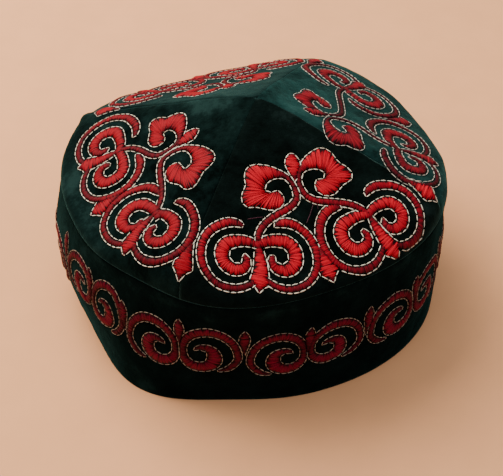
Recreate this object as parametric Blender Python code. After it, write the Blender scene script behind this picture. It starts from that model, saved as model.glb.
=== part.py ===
"""Four-cornered velvet skullcap, built as it is sewn: four crown gores over one upright side band.

The cap stands on the rim of its band and is hollow and open below. Lengths are metres, +Z is up, and
the origin is the middle of the opening, on the surface that the cap stands on. A direction is an angle
in degrees round the cap, 0 at the front (-Y) and 90 at the right (+X). The four gores face the front,
right, back and left, and the seams between them climb from the four corners to the apex.
"""

import math
from collections import namedtuple

import bmesh
import bpy

# Driving sizes
HALF_WIDTH = 0.0905  # middle of the opening to the outside of the left and right sides
HALF_DEPTH = 0.0850  # middle of the opening to the outside of the front and back
SQUARENESS = 2.3  # power of the plan outline: 2 is an ellipse, more is squarer
BAND_HEIGHT = 0.0650
BAND_WALL = 0.0024  # velvet, stiffening and facing together
CROWN_WALL = 0.0020
CROWN_RISE = 0.0410  # apex above the folded edge
RIDGE_SHARPNESS = 7.5  # power of the crown's square level lines: more is a sharper ridge
APEX_SOFTNESS = 0.07  # share of the half width over which the apex is rounded off
SHOULDER_POWER = 26.0  # power of the crown's drop to its edge: more keeps the corners full for longer
FOLD_EASE = 0.0006  # inner radius of the fold along the crown's lower edge
SEAM_STEP = 0.0006  # how far the crown's folded edge stands out over the band
SEAM_GAP = 0.0003  # clearance between sewn pieces
HEM_ROUND = 0.0006  # rounding of the band's turned edges

# How the worn cap departs from the even outline. Each row pushes the wall out (+) or in (-) round one
# direction, as shares of the mean half width, at the rim, halfway up the band and at the crown's seam.
Push = namedtuple("Push", "direction spread rim waist seam")
PUSHES = (
    Push(direction=-32, spread=14, rim=-0.042, waist=-0.020, seam=0.000),
    Push(direction=8, spread=24, rim=0.014, waist=0.006, seam=-0.014),
    Push(direction=52, spread=22, rim=0.000, waist=-0.008, seam=-0.024),
    Push(direction=86, spread=20, rim=-0.040, waist=-0.020, seam=-0.010),
    Push(direction=122, spread=24, rim=0.004, waist=0.010, seam=0.028),
    Push(direction=178, spread=26, rim=-0.014, waist=-0.018, seam=-0.022),
    Push(direction=-146, spread=16, rim=0.000, waist=0.010, seam=0.022),
    Push(direction=-120, spread=18, rim=-0.008, waist=0.048, seam=0.016),
    Push(direction=-94, spread=16, rim=-0.010, waist=0.050, seam=-0.010),
    Push(direction=-58, spread=12, rim=0.052, waist=0.000, seam=-0.056),
)

# Gores
CORNER_ANGLE = 45.0  # from the middle of a gore to the seam on either side
Gore = namedtuple("Gore", "side direction")
GORES = (
    Gore(side="front", direction=0.0),
    Gore(side="right", direction=90.0),
    Gore(side="back", direction=180.0),
    Gore(side="left", direction=-90.0),
)

# Facets
GORE_ACROSS = 18
GORE_RINGS = 13
BAND_AROUND = len(GORES) * GORE_ACROSS
BAND_RINGS = (0.13, 0.32, 0.50, 0.68, 0.87)  # shares of the band's height
SLOPE_STEP = 0.001  # share of the way in over which the crown's slope is read

# Materials
CROWN_GREEN = (0.006, 0.030, 0.028)
BAND_GREEN = (0.002, 0.010, 0.010)
VELVET_ROUGHNESS = 0.95

# Outline


def wrapped(angle):
    """An angle in degrees, brought between -180 and 180."""
    return (angle + 180.0) % 360.0 - 180.0


def even_radius(direction):
    """Outside radius of the even rounded-square outline in a direction."""
    across = abs(math.sin(math.radians(direction))) / HALF_WIDTH
    along = abs(math.cos(math.radians(direction))) / HALF_DEPTH
    return (across**SQUARENESS + along**SQUARENESS) ** (-1.0 / SQUARENESS)


def push_length(direction, level):
    """How far the wall is pushed out in a direction, on the level "rim", "waist" or "seam"."""
    share = 0.0
    for push in PUSHES:
        away = wrapped(direction - push.direction) / push.spread
        share += getattr(push, level) * math.exp(-0.5 * away**2)
    return share * (HALF_WIDTH + HALF_DEPTH) / 2.0


def wall_radius(direction, height_share):
    """Outside radius of the band in a direction, where a height share is 0 at the rim and 1 at the seam."""
    rim = push_length(direction, "rim") * (1.0 - height_share) * (1.0 - 2.0 * height_share)
    waist = push_length(direction, "waist") * 4.0 * height_share * (1.0 - height_share)
    seam = push_length(direction, "seam") * height_share * (2.0 * height_share - 1.0)
    return even_radius(direction) + rim + waist + seam


def edge_radius(direction):
    """Outside radius of the crown's folded edge in a direction."""
    return wall_radius(direction, 1.0) + SEAM_STEP


def plan_point(direction, radius):
    """Place in plan of a radius in a direction, measured from below the apex."""
    turn = math.radians(direction)
    return (radius * math.sin(turn), -radius * math.cos(turn))


def reach_middle():
    """Middle of the whole cap's reach in plan, measured from below the apex."""
    reach = []
    for direction in range(-180, 180):
        reach.append(plan_point(direction, edge_radius(direction)))
        for height_share in (0.0, *BAND_RINGS):
            reach.append(plan_point(direction, wall_radius(direction, height_share)))
    return tuple((min(values) + max(values)) / 2.0 for values in zip(*reach))


MIDDLE_X, MIDDLE_Y = reach_middle()

# Crown


def fold_height(inset):
    """Height of the quarter-round fold at a distance in from the crown's edge."""
    fold = CROWN_WALL + FOLD_EASE
    left = max(0.0, 1.0 - inset / fold)
    return fold * math.sqrt(1.0 - left**2)


def level_share(direction, radius):
    """Square level line that a plan point lies on: 0 at the apex, 1 where it meets the middle of a side."""
    turn = math.radians(direction)
    side = 90.0 if math.sin(turn) > 0.0 else -90.0
    end = 0.0 if math.cos(turn) > 0.0 else 180.0
    across = abs(math.sin(turn)) * radius / edge_radius(side)
    along = abs(math.cos(turn)) * radius / edge_radius(end)
    return (across**RIDGE_SHARPNESS + along**RIDGE_SHARPNESS) ** (1.0 / RIDGE_SHARPNESS)


def crown_top(x, y):
    """Height of the crown's outside over a plan point, measured from below the apex."""
    direction = math.degrees(math.atan2(x, -y))
    radius = math.hypot(x, y)
    edge = edge_radius(direction)
    inset = max(0.0, edge - radius)
    level = level_share(direction, radius)
    softened = math.sqrt(level**2 + APEX_SOFTNESS**2) - APEX_SOFTNESS
    full = math.sqrt(1.0 + APEX_SOFTNESS**2) - APEX_SOFTNESS
    shoulder = math.sqrt(max(0.0, 1.0 - (1.0 - inset / edge) ** SHOULDER_POWER))
    pyramid = CROWN_RISE * (1.0 - softened / full) * shoulder
    return BAND_HEIGHT + SEAM_GAP + fold_height(inset) + pyramid


def gore_section(direction, across, way_in):
    """Outside and inside points of a gore in the upright section from its edge to its tip.

    across runs from -1 to 1 between the gore's seams, and way_in from 0 at the edge to 1 at the tip. The
    tip is drawn back from the apex, and each side from its corner plane, by half the seam's clearance.
    """
    half_gap = SEAM_GAP / 2.0
    corner_radius = edge_radius(direction + math.copysign(CORNER_ANGLE, across))
    half_angle = CORNER_ANGLE - math.degrees(math.asin(half_gap / corner_radius))
    edge_direction = direction + half_angle * across
    edge_x, edge_y = plan_point(edge_direction, edge_radius(edge_direction))
    tip_x, tip_y = plan_point(direction, half_gap / math.sin(math.radians(CORNER_ANGLE)))
    span_x = tip_x - edge_x
    span_y = tip_y - edge_y
    span = math.hypot(span_x, span_y)

    def at(share):
        """Distance in and height of the section's outside at a share of the way in."""
        inward = share**2
        return span * inward, crown_top(edge_x + span_x * inward, edge_y + span_y * inward)

    distance, height = at(way_in)
    before_distance, before_height = at(max(0.0, way_in - SLOPE_STEP))
    after_distance, after_height = at(min(1.0, way_in + SLOPE_STEP))
    run = after_distance - before_distance
    climb = after_height - before_height if way_in < 1.0 else 0.0
    slant = math.hypot(run, climb)
    inner_distance = distance + CROWN_WALL * climb / slant
    inner_height = height - CROWN_WALL * run / slant
    points = []
    for reach, level in ((distance, height), (inner_distance, inner_height)):
        points.append((edge_x + span_x * reach / span, edge_y + span_y * reach / span, level))
    return points


# Band


def band_rows():
    """Height and depth into the wall of each row of points, up the band's outside and down its inside."""
    hem = min(HEM_ROUND, BAND_WALL / 3.0)
    outside = [(0.0, hem), (hem, 0.0)]
    outside += [(share * BAND_HEIGHT, 0.0) for share in BAND_RINGS]
    outside += [(BAND_HEIGHT - hem, 0.0), (BAND_HEIGHT, hem)]
    inside = [(height, BAND_WALL - depth) for height, depth in reversed(outside)]
    return outside + inside


# Building


def velvet(name, colour):
    """A matt velvet material."""
    material = bpy.data.materials.new(name)
    material.use_nodes = True
    surface = material.node_tree.nodes["Principled BSDF"]
    surface.inputs["Base Color"].default_value = (*colour, 1.0)
    surface.inputs["Roughness"].default_value = VELVET_ROUGHNESS
    surface.inputs["Metallic"].default_value = 0.0
    surface.inputs["Sheen Weight"].default_value = 1.0
    return material


def sewn_piece(name, chart, place, material):
    """An object from a bmesh chart, each of whose vertices place() puts where it belongs in the cap."""
    for vertex in chart.verts:
        x, y, z = place(*vertex.co)
        vertex.co = (x - MIDDLE_X, y - MIDDLE_Y, z)
    bmesh.ops.remove_doubles(chart, verts=chart.verts, dist=SEAM_GAP / 10.0)
    bmesh.ops.recalc_face_normals(chart, faces=chart.faces)
    mesh = bpy.data.meshes.new(name)
    chart.to_mesh(mesh)
    chart.free()
    mesh.shade_smooth()
    mesh.set_sharp_from_angle(angle=math.radians(40.0))
    mesh.materials.append(material)
    piece = bpy.data.objects.new(name, mesh)
    bpy.context.collection.objects.link(piece)
    return piece


def crown_gore(gore, material):
    """One gore of the crown, folded under along its lower edge.

    Its chart is a grid across the gore and up it, pulled out to a slab whose upper face becomes the
    inside of the cloth.
    """

    def place(across, up, side):
        outside, inside = gore_section(gore.direction, across, (up + 1.0) / 2.0)
        return inside if side > 0.5 else outside

    chart = bmesh.new()
    bmesh.ops.create_grid(chart, x_segments=GORE_ACROSS, y_segments=GORE_RINGS, size=1.0)
    slab = bmesh.ops.extrude_face_region(chart, geom=chart.faces[:])["geom"]
    lifted = [item for item in slab if isinstance(item, bmesh.types.BMVert)]
    bmesh.ops.translate(chart, verts=lifted, vec=(0.0, 0.0, 1.0))
    return sewn_piece(f"crown_gore_{gore.side}", chart, place, material)


def side_band(material):
    """The upright band, one closed strip with turned edges.

    Its chart is a ring drawn out into a tube with a ring for each row, whose ends meet.
    """
    rows = band_rows()

    def place(x, y, row):
        direction = math.degrees(math.atan2(x, -y))
        height, depth = rows[round(row) % len(rows)]
        plan_x, plan_y = plan_point(direction, wall_radius(direction, height / BAND_HEIGHT) - depth)
        return (plan_x, plan_y, height)

    chart = bmesh.new()
    bmesh.ops.create_circle(chart, segments=BAND_AROUND, radius=1.0)
    ring = chart.edges[:]
    for _ in rows:
        drawn = bmesh.ops.extrude_edge_only(chart, edges=ring)["geom"]
        corners = [item for item in drawn if isinstance(item, bmesh.types.BMVert)]
        ring = [edge for edge in drawn if isinstance(edge, bmesh.types.BMEdge) and edge.is_boundary]
        bmesh.ops.translate(chart, verts=corners, vec=(0.0, 0.0, 1.0))
    return sewn_piece("side_band", chart, place, material)


def main():
    """Clear the scene and build the cap."""
    for thing in list(bpy.data.objects):
        bpy.data.objects.remove(thing, do_unlink=True)
    crown_velvet = velvet("crown_velvet", CROWN_GREEN)
    for gore in GORES:
        crown_gore(gore, crown_velvet)
    side_band(velvet("band_velvet", BAND_GREEN))


main()
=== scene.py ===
"""A four-cornered velvet skullcap, dressed: velvet, satin-stitch scrolls and cream outline stitches.

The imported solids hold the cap's form. Here the velvet is made again at a fine scale on the same form, and
the embroidery is laid on it thread column by thread column, as it is digitised for a stitching hand: each
satin column is a ladder of threads between two edges, and an outline of short cream stitches runs round
the joined columns. Lengths are metres unless a name ends in _mm, and +Z is up.
"""

import logging
import math
import random
from bisect import bisect_right
from collections.abc import Iterable, Sequence
from dataclasses import dataclass, field
from enum import Enum

import bmesh
import bpy
from mathutils import Matrix, Vector, noise


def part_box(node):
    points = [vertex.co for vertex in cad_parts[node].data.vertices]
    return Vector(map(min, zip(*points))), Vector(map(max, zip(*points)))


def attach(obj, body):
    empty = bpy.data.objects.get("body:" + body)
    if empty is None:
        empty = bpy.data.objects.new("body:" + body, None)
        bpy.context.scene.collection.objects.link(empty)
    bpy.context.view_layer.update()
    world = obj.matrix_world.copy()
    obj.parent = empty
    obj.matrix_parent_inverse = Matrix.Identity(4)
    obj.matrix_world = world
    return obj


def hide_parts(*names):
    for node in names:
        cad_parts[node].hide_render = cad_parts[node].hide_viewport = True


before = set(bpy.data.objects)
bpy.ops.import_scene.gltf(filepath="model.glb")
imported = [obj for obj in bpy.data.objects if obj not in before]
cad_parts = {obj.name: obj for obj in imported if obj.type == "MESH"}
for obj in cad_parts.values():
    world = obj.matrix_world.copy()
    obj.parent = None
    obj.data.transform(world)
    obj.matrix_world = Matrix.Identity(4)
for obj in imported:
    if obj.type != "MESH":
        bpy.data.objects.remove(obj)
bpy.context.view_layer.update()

MM = 0.001
WELD = 0.000002
SLEEVE_WELD = 0.000001
CORNER_ANGLE = 45.0
BAND_LEVELS = (0.0, 0.13, 0.32, 0.50, 0.68, 0.87, 1.0)
PUCKER_SHIFT = Vector((7.3, 1.9, 4.1))
CROWN_SEED = 11
SEED_STEP = 10
BAND_SEED = 71
STRAY_SEED = 91
LOG = logging.getLogger("skullcap")

Point = tuple[float, float]
Ladder = list[tuple[Point, Point]]
Colour = tuple[float, float, float]


def rows_of(kind: type, rows: Sequence[tuple[float, ...]]) -> tuple:
    """One item of a kind from each row of a table, whose columns are the kind's fields in their order."""
    return tuple(kind(*row) for row in rows)


# The form of the cap


@dataclass(frozen=True)
class Push:
    """How the worn wall stands out (+) or in (-) round one direction, as shares of the mean half width."""

    direction: float
    spread: float
    rim: float
    waist: float
    seam: float


PUSHES = (
    Push(direction=-32, spread=14, rim=-0.042, waist=-0.020, seam=0.000),
    Push(direction=8, spread=24, rim=0.014, waist=0.006, seam=-0.014),
    Push(direction=52, spread=22, rim=0.000, waist=-0.008, seam=-0.024),
    Push(direction=86, spread=20, rim=-0.040, waist=-0.020, seam=-0.010),
    Push(direction=122, spread=24, rim=0.004, waist=0.010, seam=0.028),
    Push(direction=178, spread=26, rim=-0.014, waist=-0.018, seam=-0.022),
    Push(direction=-146, spread=16, rim=0.000, waist=0.010, seam=0.022),
    Push(direction=-120, spread=18, rim=-0.008, waist=0.048, seam=0.016),
    Push(direction=-94, spread=16, rim=-0.010, waist=0.050, seam=-0.010),
    Push(direction=-58, spread=12, rim=0.052, waist=0.000, seam=-0.056),
)


def wrapped(angle: float) -> float:
    """An angle in degrees, brought between -180 and 180."""
    return (angle + 180.0) % 360.0 - 180.0


def read_round(table: Sequence[float], direction: float) -> float:
    """A value in a direction, from a table of whole degrees that starts at -180."""
    place = wrapped(direction) + 180.0
    index = int(place)
    return table[index] + (table[index + 1] - table[index]) * (place - index)


@dataclass
class CapForm:
    """The outside of the cap as a formula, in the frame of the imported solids.

    A direction is an angle in degrees round the cap, 0 at the front (-Y) and 90 at the right (+X). Plan
    places are measured from below the apex, and middle_x and middle_y bring them to the frame's origin.
    """

    half_width: float = 0.0905
    half_depth: float = 0.0850
    squareness: float = 2.3
    band_wall: float = 0.0024
    crown_wall: float = 0.0020
    crown_rise: float = 0.0410
    ridge_sharpness: float = 7.5
    apex_softness: float = 0.07
    shoulder_power: float = 26.0
    fold_ease: float = 0.0006
    seam_step: float = 0.0006
    seam_gap: float = 0.0003
    hem_round: float = 0.0006
    slope_step: float = 0.0002
    ripple_height: float = 0.00060
    ripple_length: float = 0.017
    pucker_height: float = 0.00022
    pucker_length: float = 0.006
    groove_depth: float = 0.00016
    groove_width: float = 0.0009
    groove_pucker: float = 0.35
    groove_pucker_length: float = 0.0017
    groove_free: float = 0.012
    bank_share: float = 0.25
    bank_place: float = 2.6
    bank_spread: float = 1.4
    knot_direction: float = -135.0
    knot_height: float = 0.0017
    knot_inset: float = 0.0030
    knot_spread: float = 0.0030
    still_height: float = 0.004
    band_height: float = field(init=False)
    middle_x: float = field(init=False)
    middle_y: float = field(init=False)

    def __post_init__(self) -> None:
        """Works out the band's height from the frame, the push tables and the middle of the outline."""
        self.band_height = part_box("side_band")[1][2]
        self._even = [self._even_radius(degree) for degree in range(-180, 182)]
        self._levels = {
            level: [self._push_length(degree, level) for degree in range(-180, 182)]
            for level in ("rim", "waist", "seam")
        }
        low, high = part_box("side_band")
        reach = [
            self.plan(degree, self.wall_radius(degree, share))
            for degree in range(-180, 180)
            for share in BAND_LEVELS
        ]
        xs, ys = zip(*reach)
        self.middle_x = (min(xs) + max(xs) - low[0] - high[0]) / 2.0
        self.middle_y = (min(ys) + max(ys) - low[1] - high[1]) / 2.0
        self._sides = {side: self.edge_radius(side) for side in (0.0, 90.0, 180.0, -90.0)}

    def _even_radius(self, direction: float) -> float:
        """Outside radius of the even rounded-square outline in a direction."""
        across = abs(math.sin(math.radians(direction))) / self.half_width
        along = abs(math.cos(math.radians(direction))) / self.half_depth
        return (across**self.squareness + along**self.squareness) ** (-1.0 / self.squareness)

    def _push_length(self, direction: float, level: str) -> float:
        """How far the wall is pushed out in a direction on a level."""
        share = sum(
            getattr(push, level) * math.exp(-0.5 * (wrapped(direction - push.direction) / push.spread) ** 2)
            for push in PUSHES
        )
        return share * (self.half_width + self.half_depth) / 2.0

    def plan(self, direction: float, radius: float) -> Point:
        """Plan place of a radius in a direction."""
        turn = math.radians(direction)
        return radius * math.sin(turn), -radius * math.cos(turn)

    def wall_radius(self, direction: float, share: float) -> float:
        """Outside radius of the band, where a height share is 0 at the rim and 1 at the seam."""
        rim = read_round(self._levels["rim"], direction) * (1.0 - share) * (1.0 - 2.0 * share)
        waist = read_round(self._levels["waist"], direction) * 4.0 * share * (1.0 - share)
        seam = read_round(self._levels["seam"], direction) * share * (2.0 * share - 1.0)
        return read_round(self._even, direction) + rim + waist + seam

    def edge_radius(self, direction: float) -> float:
        """Outside radius of the crown's folded edge."""
        return self.wall_radius(direction, 1.0) + self.seam_step

    def crown_height(self, x: float, y: float) -> float:
        """Height of the crown's smooth outside over a plan place."""
        direction = math.degrees(math.atan2(x, -y))
        radius = math.hypot(x, y)
        edge = self.edge_radius(direction)
        inset = max(0.0, edge - radius)
        fold = self.crown_wall + self.fold_ease
        turned = fold * math.sqrt(1.0 - max(0.0, 1.0 - inset / fold) ** 2)
        across = abs(x) / self._sides[90.0 if x > 0.0 else -90.0]
        along = abs(y) / self._sides[0.0 if y < 0.0 else 180.0]
        sharpness = self.ridge_sharpness
        level = (across**sharpness + along**sharpness) ** (1.0 / sharpness)
        soft = self.apex_softness
        share = (math.hypot(level, soft) - soft) / (math.hypot(1.0, soft) - soft)
        shoulder = math.sqrt(max(0.0, 1.0 - (1.0 - inset / edge) ** self.shoulder_power))
        return self.band_height + self.seam_gap + turned + self.crown_rise * (1.0 - share) * shoulder

    def ripple(self, spot: Vector) -> float:
        """How far handling and stitching have pushed the cloth out at a spot."""
        wide = noise.noise(spot / self.ripple_length)
        fine = noise.noise(spot / self.pucker_length + PUCKER_SHIFT)
        return self.ripple_height * wide + self.pucker_height * fine

    def groove(self, x: float, y: float) -> float:
        """How far the seams between the gores draw the crown in over a plan place."""
        off_seam = abs(abs(x) - abs(y)) / math.sqrt(2.0)
        radius = math.hypot(x, y)
        off = off_seam / self.groove_width
        puckers = 1.0 + self.groove_pucker * math.sin(radius / self.groove_pucker_length)
        valley = -self.groove_depth * math.exp(-(off**2))
        bank = math.exp(-(((off - self.bank_place) / self.bank_spread) ** 2))
        banks = self.bank_share * self.groove_depth * bank
        return (valley + banks) * puckers * min(1.0, radius / self.groove_free) + self.knot(x, y)

    def knot(self, x: float, y: float) -> float:
        """How far the thick end of the seam at the back left pushes the cloth out over a plan place."""
        edge = self.edge_radius(self.knot_direction) - self.knot_inset
        middle_x, middle_y = self.plan(self.knot_direction, edge)
        off = math.hypot(x - middle_x, y - middle_y) / self.knot_spread
        return self.knot_height * math.exp(-(off**2))

    def crown_skin(self, x: float, y: float, lift: float) -> Vector:
        """A spot at a lift over the rippled crown.

        Args:
            x, y: plan place, measured from below the apex.
            lift: distance out along the surface's normal.

        Returns:
            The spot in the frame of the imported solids.
        """
        step = self.slope_step
        height = self.crown_height(x, y)
        slope_x = (self.crown_height(x + step, y) - self.crown_height(x - step, y)) / (2.0 * step)
        slope_y = (self.crown_height(x, y + step) - self.crown_height(x, y - step)) / (2.0 * step)
        spot = Vector((x - self.middle_x, y - self.middle_y, height))
        out = Vector((-slope_x, -slope_y, 1.0)).normalized()
        return spot + out * (lift + self.ripple(spot) + self.groove(x, y))

    def band_skin(self, direction: float, height: float, lift: float) -> Vector:
        """A spot at a lift over the rippled band, in a direction and at a height."""
        share = height / self.band_height
        radius = self.wall_radius(direction, share)
        x, y = self.plan(direction, radius)
        spot = Vector((x - self.middle_x, y - self.middle_y, height))
        step = 0.5
        before = Vector(self.plan(direction - step, self.wall_radius(direction - step, share)))
        after = Vector(self.plan(direction + step, self.wall_radius(direction + step, share)))
        along = (after - before).normalized()
        out = Vector((-along.y, along.x, 0.0))
        if out.x * x + out.y * y < 0.0:
            out.negate()
        still = min(1.0, height / self.still_height)
        return spot + out * (lift + self.ripple(spot) * still)


# Shader building


class Wire:
    """A node's output socket, on which arithmetic adds Math nodes."""

    def __init__(self, tree: bpy.types.NodeTree, socket: bpy.types.NodeSocket) -> None:
        """Keeps the socket and the tree that it belongs to."""
        self.tree = tree
        self.socket = socket

    def _math(self, operation: str, first: "Wire | float", second: "Wire | float") -> "Wire":
        """The outcome of a Math node on two values."""
        node = self.tree.nodes.new("ShaderNodeMath")
        node.operation = operation
        for slot, value in zip(node.inputs, (first, second)):
            plug(self.tree, slot, value)
        return Wire(self.tree, node.outputs[0])

    def __add__(self, other: "Wire | float") -> "Wire":
        """self + other."""
        return self._math("ADD", self, other)

    def __radd__(self, other: float) -> "Wire":
        """other + self."""
        return self._math("ADD", other, self)

    def __sub__(self, other: "Wire | float") -> "Wire":
        """self - other."""
        return self._math("SUBTRACT", self, other)

    def __rsub__(self, other: float) -> "Wire":
        """other - self."""
        return self._math("SUBTRACT", other, self)

    def __mul__(self, other: "Wire | float") -> "Wire":
        """self * other."""
        return self._math("MULTIPLY", self, other)

    def __rmul__(self, other: float) -> "Wire":
        """other * self."""
        return self._math("MULTIPLY", other, self)


def plug(tree: bpy.types.NodeTree, slot: bpy.types.NodeSocket, value: "Wire | float | tuple") -> None:
    """Links a wire to a socket, or sets the socket's own value."""
    if isinstance(value, Wire):
        tree.links.new(value.socket, slot)
    else:
        slot.default_value = value


class Surface:
    """A material under construction, with its Principled shader."""

    def __init__(self, name: str) -> None:
        """Makes the material and finds its shader."""
        self.material = bpy.data.materials.new(name)
        self.material.use_nodes = True
        self.tree = self.material.node_tree
        self.shader = self.tree.nodes["Principled BSDF"]

    def node(self, kind: str, settings: dict, inputs: dict, output: int | str = 0) -> Wire:
        """Adds a node.

        Args:
            kind: the node's type.
            settings: its properties, or "stops" for a colour ramp's positions and colours.
            inputs: values or wires for its sockets, by name or number.
            output: the output socket that is wanted.

        Returns:
            That output as a wire.
        """
        made = self.tree.nodes.new(kind)
        for key, value in settings.items():
            if key == "stops":
                self._set_stops(made.color_ramp, value)
            else:
                setattr(made, key, value)
        for key, value in inputs.items():
            plug(self.tree, made.inputs[key], value)
        return Wire(self.tree, made.outputs[output])

    @staticmethod
    def _set_stops(ramp: bpy.types.ColorRamp, stops: Sequence[tuple[float, tuple]]) -> None:
        """Puts a ramp's stops at the given positions with the given colours."""
        while len(ramp.elements) < len(stops):
            ramp.elements.new(1.0)
        for element, (position, colour) in zip(ramp.elements, stops):
            element.position = position
            element.color = (*colour, 1.0)

    def noise(self, place: Wire, scale: float, detail: float = 2.0, roughness: float = 0.5) -> Wire:
        """Noise between 0 and 1 at a place."""
        inputs = {"Vector": place, "Scale": scale, "Detail": detail, "Roughness": roughness}
        return self.node("ShaderNodeTexNoise", {}, inputs)

    def object_place(self) -> Wire:
        """The place on the object, in metres."""
        return self.node("ShaderNodeTexCoord", {}, {}, "Object")

    def ramp(self, value: Wire, stops: Sequence[tuple[float, tuple]]) -> Wire:
        """Colours along a value."""
        return self.node("ShaderNodeValToRGB", {"stops": stops}, {"Fac": value})

    def mix(self, share: Wire, first: "Wire | tuple", second: "Wire | tuple") -> Wire:
        """A colour between two, by a share that is held between 0 and 1."""
        made = self.tree.nodes.new("ShaderNodeMix")
        made.data_type = "RGBA"
        colours = [slot for slot in made.inputs if slot.type == "RGBA"]
        plug(self.tree, made.inputs[0], share)
        for slot, value in zip(colours, (first, second)):
            plug(self.tree, slot, value if isinstance(value, Wire) else (*value, 1.0))
        return Wire(self.tree, next(slot for slot in made.outputs if slot.type == "RGBA"))

    def bump(self, height: Wire, strength: float, distance: float) -> Wire:
        """A normal bent by a height."""
        inputs = {"Height": height, "Strength": strength, "Distance": distance}
        return self.node("ShaderNodeBump", {}, inputs)

    def set(self, **values: "Wire | float | tuple") -> None:
        """Sets the shader's sockets, named with underscores for spaces."""
        for name, value in values.items():
            plug(self.tree, self.shader.inputs[name.replace("_", " ")], value)


# Finishes


@dataclass(frozen=True)
class Velvet:
    """Cotton velvet: a deep base, lighter in random patches of laid-over pile, and a sheen at grazing
    angles.

    A float attribute on the mesh moves the colour lighter (+) or darker (-): partly pile laid over by
    handling, and partly painted sheen and painted shade. The brushed and worn colours stand for laid-over
    pile and for painted sheen both.
    """

    name: str
    deep: Colour
    brushed: Colour
    worn: Colour
    sheen: Colour
    sheen_weight: float
    sheen_roughness: float = 0.34
    wear_and_painted_light_weight: float = 0.13

    def make(self) -> bpy.types.Material:
        """Builds the velvet's material."""
        surface = Surface(self.name)
        place = surface.object_place()
        strokes = surface.noise(place, 55.0, 4.0, 0.62)
        tufts = surface.noise(place, 260.0, 2.0, 0.6)
        pile = surface.noise(place, 1300.0, 2.0, 0.7)
        nap = strokes * 0.62 + tufts * 0.23 + pile * 0.15
        # Laid-over pile, painted sheen and painted shade, read from the mesh.
        wear_and_painted_light = surface.node("ShaderNodeAttribute", {"attribute_name": "wear_and_painted_light"}, {}, "Fac")
        shades = ((0.42, self.deep), (0.60, self.brushed), (0.72, self.worn))
        colour = surface.ramp(nap + wear_and_painted_light * self.wear_and_painted_light_weight, shades)
        surface.set(
            Base_Color=colour,
            Roughness=0.85,
            Specular_IOR_Level=0.0,
            Sheen_Weight=self.sheen_weight,
            Sheen_Roughness=self.sheen_roughness,
            Sheen_Tint=(*self.sheen, 1.0),
            Normal=surface.bump(nap, 0.55, 0.0022),
        )
        return surface.material


@dataclass(frozen=True)
class SatinThread:
    """Glossy embroidery thread, whose strands follow the ladder's rungs.

    Broad columns are painted brighter and narrow ones darker, as painted light and shade: broad ones stand
    up into the light and narrow ones lie deep in the pile. The gap colour is painted shade between the
    strands and towards the column's edges, and the glint colour is a painted highlight on broad columns.
    """

    name: str
    gap: Colour
    narrow: Colour
    broad: Colour
    glint: Colour

    def make(self) -> bpy.types.Material:
        """Builds the thread's material."""
        surface = Surface(self.name)
        ladder = surface.node("ShaderNodeUVMap", {"uv_map": "ladder"}, {})
        across = surface.node("ShaderNodeSeparateXYZ", {}, {"Vector": ladder}, "Y")
        edge = across * across
        breadth = surface.node("ShaderNodeAttribute", {"attribute_name": "breadth"}, {}, "Fac")
        strand_place = surface.node("ShaderNodeMapping", {}, {"Vector": ladder, "Scale": (1.0, 0.17, 1.0)})
        strands = surface.noise(strand_place, 1.9, 2.0, 0.6)
        bundles = surface.noise(strand_place, 0.62, 1.0, 0.5)
        patches = surface.noise(surface.object_place(), 110.0, 1.0, 0.5)
        # Painted shade: the streaks darken between strands and towards the column's edges.
        streak = strands * 0.62 + bundles * 0.38 - edge * 0.15
        # Painted light and shade by breadth, with random patches.
        body_share = breadth * 2.0 + patches * 0.8 - 1.10
        body = surface.mix(body_share, self.narrow, self.broad)
        dark_share = surface.ramp(streak, ((0.375, (1.0,) * 3), (0.462, (0.0,) * 3)))
        light_share = surface.ramp(streak, ((0.52, (0.0,) * 3), (0.64, (1.0,) * 3)))
        colour = surface.mix(dark_share, body, self.gap)
        # Painted highlight on the broad columns.
        colour = surface.mix(light_share * breadth, colour, self.glint)
        surface.set(
            Base_Color=colour,
            Roughness=0.50,
            Specular_IOR_Level=0.05,
            Normal=surface.bump(streak, 0.8, 0.0004),
        )
        return surface.material


@dataclass(frozen=True)
class CordThread:
    """Matt twisted thread for the outline."""

    name: str
    shade: Colour
    light: Colour

    def make(self) -> bpy.types.Material:
        """Builds the thread's material."""
        surface = Surface(self.name)
        place = surface.object_place()
        fibres = surface.noise(place, 1600.0, 2.0, 0.6)
        dirt = surface.noise(place, 90.0, 1.0, 0.5)
        tone = fibres * 0.5 + dirt * 0.5
        surface.set(
            Base_Color=surface.ramp(tone, ((0.38, self.shade), (0.56, self.light))),
            Roughness=0.6,
            Specular_IOR_Level=0.3,
            Normal=surface.bump(fibres, 0.4, 0.0002),
        )
        return surface.material


@dataclass(frozen=True)
class PlainCloth:
    """Flat woven cotton, for the inside and the floor."""

    name: str
    shade: Colour
    light: Colour
    grain: float
    roughness: float = 0.9

    def make(self) -> bpy.types.Material:
        """Builds the cloth's material."""
        surface = Surface(self.name)
        place = surface.object_place()
        weave = surface.noise(place, self.grain, 3.0, 0.6)
        surface.set(
            Base_Color=surface.ramp(weave, ((0.35, self.shade), (0.65, self.light))),
            Roughness=self.roughness,
            Specular_IOR_Level=0.15,
            Normal=surface.bump(weave, 0.15, 0.0002),
        )
        return surface.material


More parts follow.
